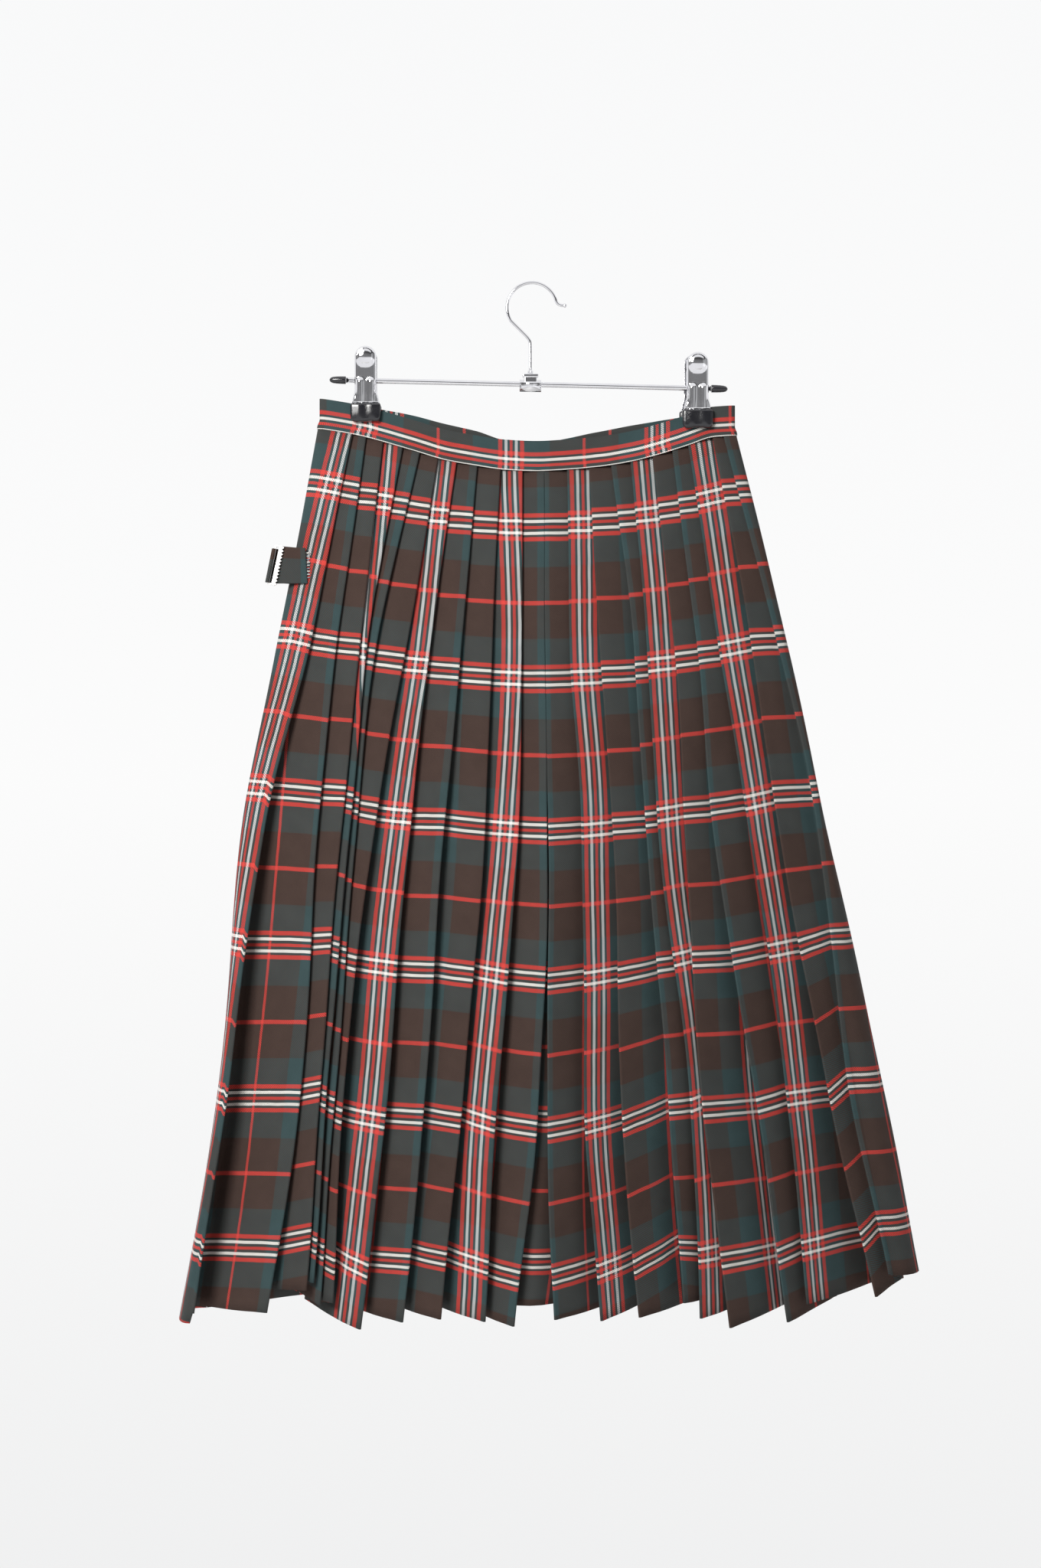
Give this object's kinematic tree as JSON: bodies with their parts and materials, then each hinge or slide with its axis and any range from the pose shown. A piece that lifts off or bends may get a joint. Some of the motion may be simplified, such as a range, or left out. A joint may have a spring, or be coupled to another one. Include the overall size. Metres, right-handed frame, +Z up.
{
  "type": "kilt skirt on clip hanger",
  "caption": "Long tartan kilt with knife-pleated back, wrap-over aprons, waistband and hip buckle, hanging flat from a wire clip hanger.",
  "frame": {"origin": "inside top of the hanger's hook, where a rail carries it", "axes": "+Z up, -Y towards the viewer and out of the pleated back, +X to the viewer's right"},
  "size_m": [0.6042, 0.1371, 0.8519],
  "materials": {
    "tartan": "woven wool, matt",
    "chrome": "polished",
    "buckle_metal": "satin nickel",
    "vinyl": "glossy dipped vinyl"
  },
  "bodies": {
    "root": {"side_left": "tartan", "pleats_left_outer": "tartan", "pleats_left_inner": "tartan", "pleats_right_inner": "tartan", "pleats_right_outer": "tartan", "side_right": "tartan", "over_apron": "tartan", "under_apron_left": "tartan", "under_apron_right": "tartan", "waistband_back": "tartan", "waistband_over": "tartan", "waistband_under": "tartan", "hip_strap": "tartan", "hip_tab": "tartan", "hip_buckle": "buckle_metal", "hook": "chrome", "hook_swivel": "chrome", "rod_bracket": "chrome", "rod": "chrome", "clip_left_plate_front": "chrome", "clip_left_plate_back": "chrome", "clip_left_spring": "chrome", "clip_right_plate_front": "chrome", "clip_right_plate_back": "chrome", "clip_right_spring": "chrome", "end_cap_left": "vinyl", "end_cap_right": "vinyl", "clip_left_grip_front": "vinyl", "clip_left_grip_back": "vinyl", "clip_right_grip_front": "vinyl", "clip_right_grip_back": "vinyl"}
  },
  "joints": []
}
